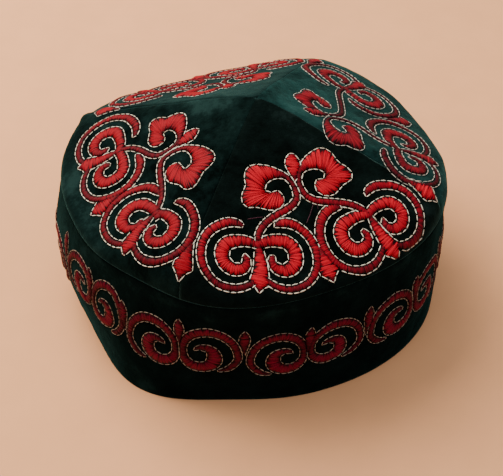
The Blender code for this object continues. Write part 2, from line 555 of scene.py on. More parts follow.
class Finish(Enum):
    """The cap's finishes."""

    # The crown's four velvets are one cloth in four copies. Each copy's depth of colour and sheen is partly
    # the nap's direction on its gore and partly painted light and shade for how light falls on that gore.
    CROWN_FRONT = Velvet(
        name="velvet_front",
        deep=(0.0014, 0.0024, 0.0020),
        brushed=(0.0034, 0.0072, 0.0063),
        worn=(0.0080, 0.0165, 0.0150),
        sheen=(0.12, 0.28, 0.25),
        sheen_weight=0.40,
    )
    CROWN_RIGHT = Velvet(
        name="velvet_right",
        deep=(0.0030, 0.0095, 0.0086),
        brushed=(0.0100, 0.0370, 0.0340),
        worn=(0.0180, 0.0540, 0.0490),
        sheen=(0.13, 0.35, 0.32),
        sheen_weight=0.40,
    )
    CROWN_BACK = Velvet(
        name="velvet_back",
        deep=(0.0020, 0.0052, 0.0047),
        brushed=(0.0060, 0.0165, 0.0150),
        worn=(0.0120, 0.0280, 0.0255),
        sheen=(0.15, 0.36, 0.33),
        sheen_weight=0.56,
    )
    CROWN_LEFT = Velvet(
        name="velvet_left",
        deep=(0.0009, 0.0019, 0.0016),
        brushed=(0.0040, 0.0110, 0.0100),
        worn=(0.0110, 0.0280, 0.0255),
        sheen=(0.12, 0.31, 0.28),
        sheen_weight=0.44,
    )
    # Painted shade: the band's copy of the velvet, darker than the crown's.
    BAND = Velvet(
        name="velvet_band",
        deep=(0.0011, 0.0022, 0.0019),
        brushed=(0.0021, 0.0054, 0.0049),
        worn=(0.0050, 0.0135, 0.0124),
        sheen=(0.06, 0.18, 0.165),
        sheen_weight=0.30,
    )
    # The crown's red thread, as it shows on the front gore; the two copies below are painted shade.
    RED = SatinThread(
        name="thread_red",
        gap=(0.010, 0.0012, 0.0020),
        narrow=(0.105, 0.0040, 0.0090),
        broad=(0.520, 0.0060, 0.0190),
        glint=(0.760, 0.0100, 0.0280),
    )
    # Painted shade: a darker copy of the red for the left and back gores.
    RED_LEFT = SatinThread(
        name="thread_red_painted_shade_left",
        gap=(0.008, 0.0012, 0.0020),
        narrow=(0.080, 0.0035, 0.0075),
        broad=(0.290, 0.0035, 0.0110),
        glint=(0.430, 0.0055, 0.0160),
    )
    # Painted shade: a darker copy still for the right gore.
    RED_RIGHT = SatinThread(
        name="thread_red_painted_shade_right",
        gap=(0.009, 0.0020, 0.0028),
        narrow=(0.055, 0.0050, 0.0085),
        broad=(0.210, 0.0080, 0.0150),
        glint=(0.480, 0.0090, 0.0200),
    )
    # The band's thread: more crimson in hue than the crown's red, and far darker as painted shade, for the
    # band lies in shade below the crown.
    CRIMSON = SatinThread(
        name="thread_crimson_painted_shade",
        gap=(0.005, 0.0006, 0.0012),
        narrow=(0.034, 0.0015, 0.0060),
        broad=(0.125, 0.0022, 0.0150),
        glint=(0.200, 0.0035, 0.0220),
    )
    CREAM = CordThread("thread_cream", (0.60, 0.50, 0.36), (0.95, 0.86, 0.69))
    # Painted shade: a darker copy of the cream thread for the right and back gores.
    SOFT_CREAM = CordThread("thread_cream_painted_shade", (0.34, 0.29, 0.24), (0.62, 0.55, 0.46))
    # Painted shade: a darker copy still for the band.
    DULL_CREAM = CordThread("thread_cream_deep_painted_shade", (0.17, 0.12, 0.09), (0.39, 0.30, 0.22))
    STRAY = CordThread("thread_stray", (0.035, 0.004, 0.012), (0.090, 0.012, 0.035))
    INSIDE = PlainCloth("inside_cloth", (0.004, 0.008, 0.008), (0.010, 0.018, 0.017), 900.0)
    FLOOR = PlainCloth("floor", (0.85, 0.400, 0.185), (0.89, 0.420, 0.195), 30.0, 0.75)

    def material(self) -> bpy.types.Material:
        """The finish's material, made the first time that it is asked for."""
        return bpy.data.materials.get(self.value.name) or self.value.make()


# Laid-over pile, painted sheen and painted shade


@dataclass(frozen=True)
class WearAndPaintedLightPlace:
    """A place where the velvet is lighter (+) or darker (-): partly pile laid over by handling, and partly
    painted sheen and painted shade.

    On a gore the place is in mm across and out, and on the band in degrees round and mm up.
    """

    across: float
    out: float
    spread_across: float
    spread_out: float
    share: float

    def share_at(self, across: float, out: float) -> float:
        """The place's share at a spot."""
        off_across = (across - self.across) / self.spread_across
        off_out = (out - self.out) / self.spread_out
        return self.share * math.exp(-(off_across**2 + off_out**2))


# Laid-over pile and painted sheen on the band, lighter in each place.
BAND_WEAR_AND_PAINTED_LIGHT = rows_of(WearAndPaintedLightPlace, (
    (-96, 52, 14, 16, 1.0), (-74, 20, 9, 14, 0.9), (-56, 6, 7, 10, 1.2), (-50, 60, 26, 5, 0.5),
    (0, 61, 60, 6, 0.6), (62, 58, 20, 7, 0.7),
))


# Pieces


def absorb(shape: bmesh.types.BMesh, part: bmesh.types.BMesh) -> None:
    """Adds a small bmesh to a large one and frees it, because operators slow down as a bmesh grows."""
    held = bpy.data.meshes.new("held")
    part.to_mesh(held)
    part.free()
    shape.from_mesh(held)
    bpy.data.meshes.remove(held)


def finished(name: str, shape: bmesh.types.BMesh, finishes: Sequence[Finish]) -> bpy.types.Object:
    """An object from a bmesh, smooth shaded, with its materials."""
    mesh = bpy.data.meshes.new(name)
    shape.to_mesh(mesh)
    shape.free()
    mesh.shade_smooth()
    for finish in finishes:
        mesh.materials.append(finish.material())
    piece = bpy.data.objects.new(name, mesh)
    bpy.context.collection.objects.link(piece)
    LOG.info("%s: %d faces", name, len(mesh.polygons))
    return piece


class Side(Enum):
    """The four gores, by the direction that each faces, the finish of its velvet and its places of laid-over
    pile and painted light. Each gore's finish is partly the nap's direction and partly painted light and
    shade for how light falls on that gore.
    """

    # Each gore's places are partly pile laid over by handling and partly painted sheen: the thin places at
    # the lower edge paint the light along the fold, and the right gore's dark place paints shade.
    FRONT = ("front", 0.0, Finish.CROWN_FRONT, rows_of(WearAndPaintedLightPlace, (
        (-10, 88, 60, 1.6, 0.8),
        (50, 66, 10, 10, 0.8),
        (6, 12, 9, 9, 0.5),
    )))
    RIGHT = ("right", 90.0, Finish.CROWN_RIGHT, rows_of(WearAndPaintedLightPlace, (
        (-12, 26, 12, 16, 0.5),
        (0, 90, 70, 9, -1.2),
    )))
    BACK = ("back", 180.0, Finish.CROWN_BACK, rows_of(WearAndPaintedLightPlace, (
        (10, 20, 14, 16, 0.6),
    )))
    LEFT = ("left", -90.0, Finish.CROWN_LEFT, rows_of(WearAndPaintedLightPlace, (
        (-13, 20, 11, 13, 1.6),
        (-40, 58, 12, 12, 0.7),
        (-16, 84, 18, 5, 1.1),
        (26, 86, 26, 4, 0.5),
    )))

    def __init__(self, label: str, direction: float, finish: Finish, wear_and_light_places: tuple[WearAndPaintedLightPlace, ...]) -> None:
        """Keeps the side's name, direction, finish, and places of laid-over pile and painted light."""
        self.label = label
        self.direction = direction
        self.finish = finish
        self.wear_and_light_places = wear_and_light_places


@dataclass
class CrownGore:
    """One velvet gore of the crown, folded under along its lower edge."""

    form: CapForm
    side: Side
    across: int = 96
    rings: int = 72
    seam_gap: float = 0.00006
    slope_share: float = 0.001
    settle_share: float = 0.10

    def _section(self, across: float, way_in: float) -> tuple[Vector, Vector]:
        """Outside and inside spots of the gore.

        Args:
            across: from -1 to 1 between the gore's seams.
            way_in: from 0 at the folded edge to 1 at the tip.

        Returns:
            The spot on the outside and the one through the wall.
        """
        form = self.form
        direction = self.side.direction
        half_gap = self.seam_gap / 2.0
        corner_radius = form.edge_radius(direction + math.copysign(CORNER_ANGLE, across))
        half_angle = CORNER_ANGLE - math.degrees(math.asin(half_gap / corner_radius))
        edge_direction = direction + half_angle * across
        edge = Vector(form.plan(edge_direction, form.edge_radius(edge_direction)))
        tip = Vector(form.plan(direction, half_gap * math.sqrt(2.0)))
        span = tip - edge

        def height_at(share: float) -> tuple[float, float]:
            """Distance in and height of the outside at a share of the way in."""
            spot = edge + span * share**2
            return span.length * share**2, form.crown_height(spot.x, spot.y)

        distance, height = height_at(way_in)
        before = height_at(max(0.0, way_in - self.slope_share))
        after = height_at(min(1.0, way_in + self.slope_share))
        run = after[0] - before[0]
        climb = after[1] - before[1] if way_in < 1.0 else 0.0
        slant = math.hypot(run, climb)
        spots = []
        for depth in (0.0, form.crown_wall):
            place = edge + span * ((distance + depth * climb / slant) / span.length)
            level = height - depth * run / slant
            spots.append(Vector((place.x - form.middle_x, place.y - form.middle_y, level)))
        outside, inside = spots
        out = (outside - inside).normalized()
        plan = edge + span * way_in**2
        settled = min(1.0, way_in / self.settle_share)
        outside += out * (form.ripple(outside) + form.groove(plan.x, plan.y)) * settled
        return outside, inside

    def _wear_and_painted_light(self, spot: Vector) -> float:
        """The share by which the velvet is lighter (+) or darker (-) at a spot on the outside: partly
        laid-over pile, partly painted sheen and painted shade.
        """
        turn = math.radians(self.side.direction)
        x = (spot.x + self.form.middle_x) / MM
        y = (spot.y + self.form.middle_y) / MM
        across = x * math.cos(turn) + y * math.sin(turn)
        out = x * math.sin(turn) - y * math.cos(turn)
        return sum(place.share_at(across, out) for place in self.side.wear_and_light_places)

    def build(self) -> bpy.types.Object:
        """Builds the gore from a grid that is pulled out to a slab."""
        chart = bmesh.new()
        bmesh.ops.create_grid(chart, x_segments=self.across, y_segments=self.rings, size=1.0)
        slab = bmesh.ops.extrude_face_region(chart, geom=chart.faces[:])["geom"]
        lifted = [item for item in slab if isinstance(item, bmesh.types.BMVert)]
        bmesh.ops.translate(chart, verts=lifted, vec=(0.0, 0.0, 1.0))
        # Laid-over pile, painted sheen and painted shade, per vertex.
        wear_and_painted_light = chart.verts.layers.float.new("wear_and_painted_light")
        for face in chart.faces:
            face.material_index = int(all(vertex.co.z > 0.5 for vertex in face.verts))
        for vertex in chart.verts:
            outside, inside = self._section(vertex.co.x, (vertex.co.y + 1.0) / 2.0)
            vertex[wear_and_painted_light] = self._wear_and_painted_light(outside)
            vertex.co = inside if vertex.co.z > 0.5 else outside
        bmesh.ops.remove_doubles(chart, verts=chart.verts, dist=WELD)
        bmesh.ops.recalc_face_normals(chart, faces=chart.faces)
        piece = finished(f"velvet_gore_{self.side.label}", chart, (self.side.finish, Finish.INSIDE))
        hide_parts(f"crown_gore_{self.side.label}")
        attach(piece, "root")
        return piece


@dataclass
class SideBand:
    """The stiffened velvet band, with turned edges."""

    form: CapForm
    around: int = 360
    rows_up: int = 40

    def _rows(self) -> tuple[list[Point], list[Point]]:
        """Height and depth into the wall of each row up the outside, and of each down the inside."""
        form = self.form
        hem = form.hem_round
        corner = [(hem * (1.0 - math.cos(turn)), hem * (1.0 - math.sin(turn))) for turn in (0.0, 0.5, 1.0)]
        top = form.band_height
        outside = list(corner)
        outside += [(hem + (top - 2.0 * hem) * step / self.rows_up, 0.0) for step in range(1, self.rows_up)]
        outside += [(top - height, depth) for height, depth in reversed(corner)]
        inside = [(height, form.band_wall - depth) for height, depth in reversed(outside[::4])]
        return outside, inside

    def build(self) -> bpy.types.Object:
        """Builds the band from a ring drawn out into a tube whose ends meet.

        The velvet is turned in over the top edge, as far as the second row of the inside.
        """
        form = self.form
        outside, inside = self._rows()
        rows = outside + inside
        chart = bmesh.new()
        bmesh.ops.create_circle(chart, segments=self.around, radius=1.0)
        ring = chart.edges[:]
        for _ in rows:
            drawn = bmesh.ops.extrude_edge_only(chart, edges=ring)["geom"]
            corners = [item for item in drawn if isinstance(item, bmesh.types.BMVert)]
            ring = [item for item in drawn if isinstance(item, bmesh.types.BMEdge) and item.is_boundary]
            bmesh.ops.translate(chart, verts=corners, vec=(0.0, 0.0, 1.0))
        inner_row = len(outside) + 0.5
        for face in chart.faces:
            face.material_index = int(min(vertex.co.z for vertex in face.verts) > inner_row)
        # Laid-over pile and painted sheen, per vertex.
        wear_and_painted_light = chart.verts.layers.float.new("wear_and_painted_light")
        for vertex in chart.verts:
            direction = math.degrees(math.atan2(vertex.co.x, -vertex.co.y))
            height, depth = rows[round(vertex.co.z) % len(rows)]
            vertex[wear_and_painted_light] = sum(place.share_at(direction, height / MM) for place in BAND_WEAR_AND_PAINTED_LIGHT)
            vertex.co = form.band_skin(direction, height, -depth)
        bmesh.ops.remove_doubles(chart, verts=chart.verts, dist=WELD)
        bmesh.ops.recalc_face_normals(chart, faces=chart.faces)
        piece = finished("velvet_band", chart, (Finish.BAND, Finish.INSIDE))
        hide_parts("side_band")
        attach(piece, "root")
        return piece


# Grounds that embroidery is laid on


@dataclass
class GoreGround:
    """A gore's flat pattern: mm across it, to the right seen from outside, and mm out from the apex."""

    form: CapForm
    direction: float
    edge_margin: float = 0.0004

    def at(self, across_mm: float, out_mm: float, lift: float) -> Vector:
        """The spot at a lift over a place on the pattern."""
        turn = math.radians(self.direction)
        x = (out_mm * math.sin(turn) + across_mm * math.cos(turn)) * MM
        y = (-out_mm * math.cos(turn) + across_mm * math.sin(turn)) * MM
        radius = math.hypot(x, y)
        limit = self.form.edge_radius(math.degrees(math.atan2(x, -y))) - self.edge_margin
        keep = min(1.0, limit / radius)
        return self.form.crown_skin(x * keep, y * keep, lift)


@dataclass
class BandGround:
    """The band's flat pattern: mm round it from the front, to the right seen from outside, and mm up."""

    form: CapForm

    def __post_init__(self) -> None:
        """Measures the length round the band's middle to each degree."""
        self._lengths = [0.0]
        for degree in range(-180, 180):
            here = Vector(self.form.plan(degree, self.form.wall_radius(degree, 0.5)))
            there = Vector(self.form.plan(degree + 1, self.form.wall_radius(degree + 1, 0.5)))
            self._lengths.append(self._lengths[-1] + (there - here).length / MM)

    @property
    def round_mm(self) -> float:
        """Length once round the band."""
        return self._lengths[-1]

    def length_to(self, direction: float) -> float:
        """Length round the band to a direction."""
        return read_round(self._lengths, direction)

    def at(self, round_mm: float, up_mm: float, lift: float) -> Vector:
        """The spot at a lift over a place on the pattern."""
        place = round_mm % self.round_mm
        index = min(bisect_right(self._lengths, place), 360) - 1
        step = (place - self._lengths[index]) / (self._lengths[index + 1] - self._lengths[index])
        return self.form.band_skin(index - 180.0 + step, up_mm * MM, lift)


# Satin columns


def smooth_run(points: Sequence[tuple[float, ...]], per_span: int = 16) -> list[tuple[float, ...]]:
    """Points along a Catmull-Rom curve through the given ones."""
    run = []
    last = len(points) - 1
    for index in range(last):
        before = points[max(0, index - 1)]
        start = points[index]
        end = points[index + 1]
        after = points[min(last, index + 2)]
        for step in range(per_span):
            t = step / per_span
            run.append(
                tuple(
                    0.5 * (2.0 * s + (e - b) * t + (2.0 * b - 5.0 * s + 4.0 * e - a) * t**2
                           + (3.0 * s - b - 3.0 * e + a) * t**3)
                    for b, s, e, a in zip(before, start, end, after)
                )
            )
    run.append(tuple(points[last]))
    return run


def spine_ladder(spine: Sequence[tuple[float, float, float]]) -> Ladder:
    """A ladder of threads square to a spine.

    Args:
        spine: x, y and width in mm of chosen places along the column's middle.

    Returns:
        The two ends of each thread, along the smoothed column.
    """
    run = smooth_run(spine)
    ladder = []
    for index, (x, y, width) in enumerate(run):
        before = run[max(0, index - 1)]
        after = run[min(len(run) - 1, index + 1)]
        along = Vector((after[0] - before[0], after[1] - before[1])).normalized()
        half = Vector((-along.y, along.x)) * max(width, 0.12) / 2.0
        ladder.append(((x - half.x, y - half.y), (x + half.x, y + half.y)))
    return ladder


def rung_ladder(rungs: Sequence[tuple[Point, Point]]) -> Ladder:
    """A smoothed ladder through chosen rungs."""
    run = smooth_run([(*left, *right) for left, right in rungs])
    return [((ax, ay), (bx, by)) for ax, ay, bx, by in run]


@dataclass
class SatinColumn:
    """One column of satin stitches, given by the two lines of outline stitches that hold it."""

    drawn: Ladder
    step_mm: float = 0.42
    inset_mm: float = 0.36
    least_mm: float = 0.30

    def __post_init__(self) -> None:
        """Spaces the threads evenly inside the outline, and keeps their edge and its reach."""
        drawn = self._evenly_spaced(self.drawn)
        self.outline = self._round_about(drawn)
        self.ladder = [self._shortened(left, right) for left, right in drawn[1:-1]]
        self.edge = self._round_about(self.ladder)
        xs, ys = zip(*self.edge)
        self.reach = (min(xs), min(ys), max(xs), max(ys))

    @staticmethod
    def _round_about(ladder: Ladder) -> list[Point]:
        """The closed line round a ladder."""
        return [left for left, _ in ladder] + [right for _, right in reversed(ladder)]

    def _shortened(self, left: Point, right: Point) -> tuple[Point, Point]:
        """A thread drawn back from the outline at both ends."""
        width = math.dist(left, right)
        share = min(self.inset_mm, max(0.0, (width - self.least_mm) / 2.0)) / max(width, 0.001)
        step = ((right[0] - left[0]) * share, (right[1] - left[1]) * share)
        return (left[0] + step[0], left[1] + step[1]), (right[0] - step[0], right[1] - step[1])

    def _evenly_spaced(self, ladder: Ladder) -> Ladder:
        """The ladder with its threads a step apart on its longer edge."""
        lengths = [0.0]
        for (left_a, right_a), (left_b, right_b) in zip(ladder, ladder[1:]):
            lengths.append(lengths[-1] + max(math.dist(left_a, left_b), math.dist(right_a, right_b)))
        count = max(4, round(lengths[-1] / self.step_mm))
        spaced = []
        for number in range(count + 1):
            target = lengths[-1] * number / count
            index = min(max(bisect_right(lengths, target) - 1, 0), len(ladder) - 2)
            gap = lengths[index + 1] - lengths[index]
            share = (target - lengths[index]) / gap if gap else 0.0
            ends = []
            for start, end in zip(ladder[index], ladder[index + 1]):
                ends.append((start[0] + (end[0] - start[0]) * share, start[1] + (end[1] - start[1]) * share))
            spaced.append((ends[0], ends[1]))
        return spaced

    def holds(self, place: Point) -> bool:
        """Whether a place lies among the column's threads."""
        x, y = place
        if not (self.reach[0] < x < self.reach[2] and self.reach[1] < y < self.reach[3]):
            return False
        inside = False
        ax, ay = self.edge[-1]
        for bx, by in self.edge:
            if (ay > y) != (by > y) and x < (bx - ax) * (y - ay) / (by - ay) + ax:
                inside = not inside
            ax, ay = bx, by
        return inside


@dataclass(frozen=True)
class SectionSpot:
    """A spot on a satin column's cross-section: across from -1 to 1, and a share of the column's rise."""

    across: float
    rise: float


SATIN_SECTION = (
    SectionSpot(-1.00, -0.20),
    SectionSpot(-0.93, 0.45),
    SectionSpot(-0.62, 0.86),
    SectionSpot(0.00, 1.00),
    SectionSpot(0.62, 0.86),
    SectionSpot(0.93, 0.45),
    SectionSpot(1.00, -0.20),
    SectionSpot(0.50, -0.45),
    SectionSpot(-0.50, -0.45),
)


@dataclass
class Embroidery:
    """Satin columns and their outline on one ground."""

    name: str
    ground: GoreGround | BandGround
    columns: list[SatinColumn]
    seed: int
    thread: Finish = Finish.RED
    cord: Finish = Finish.CREAM
    rise_mm: float = 0.95
    rise_per_width: float = 0.24
    groove_share: float = 0.38
    breadth_mm: float = 6.0
    outline_set_mm: float = 0.04
    stitch_mm: float = 2.5
    stitch_gap_mm: float = 0.45
    stitch_thick_mm: float = 0.56
    stitch_lift_mm: float = 0.22
    crossed_gap_mm: float = 0.95
    least_rise_mm: float = 0.18
    unevenness: Point = (0.95, 1.05)
    bundle: tuple[int, int] = (2, 5)
    shortest_stitch: float = 0.0006
    half_thick_share: Point = (0.44, 0.54)
    stitch_overlap: float = 1.04
    stitch_flatness: float = 0.9
    outlined: bool = True

    def build(self) -> None:
        """Builds the satin and its outline as pieces of their own."""
        laid = [(self._satin(), "thread_red")]
        if self.outlined:
            laid.append((self._outline(), "thread_cream"))
        for piece, slot in laid:
            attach(piece, "root")

    def _satin(self) -> bpy.types.Object:
        """The red columns, each a padded sleeve of threads."""
        shape = bmesh.new()
        draw = random.Random(self.seed)
        for column in self.columns:
            absorb(shape, self._sleeve(column, draw))
        return finished(f"{self.name}_scrolls", shape, (self.thread,))

    def _sleeve(self, column: SatinColumn, draw: random.Random) -> bmesh.types.BMesh:
        """A grid rolled round a column's threads, closed along its side and at its ends."""
        shape = bmesh.new()
        threads = shape.loops.layers.uv.new("ladder")
        breadth = shape.verts.layers.float.new("breadth")
        around = len(SATIN_SECTION)
        count = len(column.ladder) - 1
        rises = self._rises(column, draw)
        start = draw.uniform(0.0, 500.0)
        grid = bmesh.ops.create_grid(shape, x_segments=around, y_segments=count, size=1.0)["verts"]
        faces = {face for vertex in grid for face in vertex.link_faces}
        for face in faces:
            for corner in face.loops:
                column_share = (corner.vert.co.x + 1.0) / 2.0 * around
                row = (corner.vert.co.y + 1.0) / 2.0 * count
                across = SATIN_SECTION[round(column_share) % around].across
                corner[threads].uv = (start + row * column.step_mm, across)
        for vertex in grid:
            spot = SATIN_SECTION[round((vertex.co.x + 1.0) / 2.0 * around) % around]
            row = round((vertex.co.y + 1.0) / 2.0 * count)
            left, right = column.ladder[row]
            share = (spot.across + 1.0) / 2.0
            x = left[0] + (right[0] - left[0]) * share
            y = left[1] + (right[1] - left[1]) * share
            vertex.co = self.ground.at(x, y, rises[row] * spot.rise * MM)
            vertex[breadth] = min(1.0, math.dist(left, right) / self.breadth_mm)
        bmesh.ops.remove_doubles(shape, verts=grid, dist=SLEEVE_WELD)
        rims = [edge for edge in shape.edges if edge.is_boundary]
        bmesh.ops.holes_fill(shape, edges=rims, sides=0)
        bmesh.ops.recalc_face_normals(shape, faces=shape.faces)
        return shape

    def _rises(self, column: SatinColumn, draw: random.Random) -> list[float]:
        """The rise of each thread, lower in the grooves between bundles."""
        rises = []
        until_groove = draw.randint(*self.bundle)
        for left, right in column.ladder:
            width = math.dist(left, right)
            full = min(self.rise_mm, self.least_rise_mm + self.rise_per_width * width)
            rise = full * draw.uniform(*self.unevenness)
            until_groove -= 1
            if until_groove == 0:
                rise *= 1.0 - self.groove_share
                until_groove = draw.randint(*self.bundle)
            rises.append(rise)
        return rises

    def _outline(self) -> bpy.types.Object:
        """The cream stitches round the joined columns."""
        shape = bmesh.new()
        draw = random.Random(self.seed + 1)
        placed: dict[tuple[int, int], list[Point]] = {}
        for column in self.columns:
            others = [other for other in self.columns if other is not column]
            row = bmesh.new()
            for start, end in self._stitches(column, draw):
                middle = ((start[0] + end[0]) / 2.0, (start[1] + end[1]) / 2.0)
                if any(other.holds(middle) for other in others) or self._crowded(placed, middle):
                    continue
                self._lay_stitch(row, start, end, draw)
            absorb(shape, row)
        return finished(f"{self.name}_outline", shape, (self.cord,))

    def _crowded(self, placed: dict[tuple[int, int], list[Point]], middle: Point) -> bool:
        """Whether another stitch lies over a place; if none does, the place is kept."""
        cell = (int(middle[0] // 2.0), int(middle[1] // 2.0))
        for near_x in (cell[0] - 1, cell[0], cell[0] + 1):
            for near_y in (cell[1] - 1, cell[1], cell[1] + 1):
                for other in placed.get((near_x, near_y), ()):
                    if math.dist(other, middle) < self.crossed_gap_mm:
                        return True
        placed.setdefault(cell, []).append(middle)
        return False

    def _stitches(self, column: SatinColumn, draw: random.Random) -> Iterable[tuple[Point, Point]]:
        """The two ends of each stitch round a column, set off from its edge."""
        outline = column.outline
        area = sum(ax * by - bx * ay for (ax, ay), (bx, by) in zip(outline, outline[1:] + outline[:1]))
        outward = 1.0 if area > 0.0 else -1.0
        route = []
        for index, (x, y) in enumerate(outline):
            before = outline[index - 2]
            after = outline[(index + 2) % len(outline)]
            along = Vector((after[0] - before[0], after[1] - before[1]))
            if along.length < 0.05:
                continue
            along.normalize()
            offset = self.outline_set_mm * outward
            route.append((x + along.y * offset, y - along.x * offset))
        route.append(route[0])
        lengths = [0.0]
        for a, b in zip(route, route[1:]):
            lengths.append(lengths[-1] + math.dist(a, b))

        def along_route(length: float) -> Point:
            """The place at a length along the route."""
            index = min(max(bisect_right(lengths, length) - 1, 0), len(route) - 2)
            gap = lengths[index + 1] - lengths[index]
            share = min(1.0, (length - lengths[index]) / gap) if gap else 0.0
            (ax, ay), (bx, by) = route[index], route[index + 1]
            return ax + (bx - ax) * share, ay + (by - ay) * share

        length = draw.uniform(0.0, 0.5)
        while length < lengths[-1]:
            reach = self.stitch_mm * draw.uniform(0.8, 1.15)
            yield along_route(length), along_route(min(length + reach, lengths[-1]))
            length += reach + self.stitch_gap_mm * draw.uniform(0.6, 1.4)

    def _lay_stitch(self, shape: bmesh.types.BMesh, start: Point, end: Point, draw: random.Random) -> None:
        """A plump stitch between two places on the ground."""
        lift = self.stitch_lift_mm * MM
        a = self.ground.at(*start, lift)
        b = self.ground.at(*end, lift)
        along = b - a
        if along.length < self.shortest_stitch:
            return
        middle = (a + b) / 2.0
        out = (self.ground.at((start[0] + end[0]) / 2.0, (start[1] + end[1]) / 2.0, lift + MM) - middle)
        out -= along * (out.dot(along) / along.length_squared)
        half_thick = self.stitch_thick_mm * MM * draw.uniform(*self.half_thick_share)
        long_axis = along / 2.0 * self.stitch_overlap
        side_axis = along.cross(out).normalized() * half_thick
        up_axis = out.normalized() * half_thick * self.stitch_flatness
        frame_matrix = Matrix((long_axis, side_axis, up_axis)).transposed().to_4x4()
        laid = Matrix.Translation(middle) @ frame_matrix @ Matrix.Rotation(math.pi / 2.0, 4, "Y")
        bmesh.ops.create_uvsphere(shape, u_segments=6, v_segments=6, radius=1.0, matrix=laid)


# The crown's design


@dataclass(frozen=True)
class Turn:
    """A place on a curl: angle round its eye, reach from the eye and width of the column, in degrees and mm.

    The angle is 0 away from the pair's trunk and 90 towards the apex.
    """

    angle: float
    reach: float
    width: float


HORN_ARM = rows_of(Turn, (
    (158, 11.4, 3.6), (132, 8.2, 4.6), (100, 6.4, 5.2), (60, 6.4, 5.9), (20, 6.4, 6.4), (-25, 6.2, 6.1),
    (-70, 5.8, 5.4), (-115, 5.7, 4.6), (-147, 5.2, 4.0), (-166, 4.3, 3.4), (-182, 3.6, 2.6),
    (-194, 3.2, 1.0),
))
CRESCENT = rows_of(Turn, (
    (-150, 12.2, 1.6), (-128, 12.2, 2.8), (-100, 12.6, 2.9), (-70, 13.3, 3.0), (-40, 14.6, 3.2),
    (-10, 15.4, 3.8), (18, 15.5, 4.1), (42, 15.2, 4.2), (64, 14.6, 4.2),
))
SHORT_TIP = rows_of(Turn, (
    (82, 13.4, 3.6), (96, 12.2, 1.2),
))
LONG_TIP = rows_of(Turn, (
    (86, 14.5, 4.1), (103, 14.2, 3.4), (114, 13.5, 1.6),
))


@dataclass(frozen=True)
class Stage:
    """A place on a leaf's middle: mm along it, mm to the side and width."""

    along: float
    side: float
    width: float


TRUNK = rows_of(Stage, (
    (-1.5, 0.0, 1.6), (1.0, 0.0, 2.4), (5.0, 0.0, 4.4), (10.0, -0.3, 6.0), (13.5, -0.9, 7.2),
    (16.2, -1.6, 8.8), (17.5, -2.0, 5.6), (20.4, -2.6, 0.5),
))
TULIP = rows_of(Stage, (
    (-15.0, 0.0, 1.8), (-11.5, 0.0, 3.8), (-8.0, 0.0, 6.4), (-5.6, 0.0, 8.8), (-4.4, 0.0, 9.6),
    (-3.2, 0.0, 6.4), (-1.6, 0.0, 3.2), (0.0, 0.0, 0.5),
))
BUD = rows_of(Stage, (
    (1.6, 0.0, 0.8), (5.0, 0.1, 4.2), (8.0, 0.5, 7.0), (10.4, 0.8, 6.8), (12.4, 1.1, 4.4),
    (14.2, 1.4, 0.8),
))


@dataclass(frozen=True)
class FanRung:
    """One thread of the fan: mm to the side of the stems' meeting place and mm up, at each of its ends."""

    outer_side: float
    outer_up: float
    inner_side: float
    inner_up: float


FAN = rows_of(FanRung, (
    (0.1, 0.5, 2.9, 0.6), (1.8, 5.0, 4.2, 3.6), (4.8, 8.0, 6.2, 4.7), (8.3, 10.5, 8.6, 5.0),
    (12.3, 12.2, 10.8, 4.8), (16.3, 13.0, 12.8, 4.0), (19.8, 11.8, 14.0, 3.0), (21.8, 8.6, 14.6, 2.0),
    (22.6, 5.2, 14.6, 1.2), (25.3, 2.6, 14.2, 0.4), (26.8, -0.8, 13.4, 0.0), (24.9, -3.8, 12.5, -0.2),
    (21.4, -4.4, 11.6, 0.0), (18.6, -5.9, 10.7, 0.2), (15.4, -7.5, 9.6, 0.1), (12.3, -7.7, 8.5, -0.7),
    (9.8, -6.8, 7.8, -2.4), (8.4, -5.3, 7.7, -4.6),
))


@dataclass(frozen=True)
class HornSeat:
    """Where a horn's eye sits, in mm across and out, and the horn's size."""

    across: float
    out: float
    size: float


@dataclass(frozen=True)
class PairSeat:
    """Where a pair of horns sits: its trunk's top in mm across and out, its lean and its two horns."""

    across: float
    out: float
    lean: float
    inner: HornSeat
    outer: HornSeat


@dataclass(frozen=True)
class FanSeat:
    """A fan's size and how far it is turned up, in degrees."""

    size: float
    turn: float


@dataclass(frozen=True)
class GoreLayout:
    """Where the hand that stitched a gore put each of its motifs, in mm across and out."""

    side: Side
    meet: Point
    bud_lean: float
    left_pair: PairSeat
    right_pair: PairSeat
    left_fan: FanSeat
    right_fan: FanSeat
    tulip: Point
    corner_tulip: Point
    thread: Finish = Finish.RED
    cord: Finish = Finish.CREAM
    stitch_thick_mm: float = 0.52
    inset_mm: float = 0.36


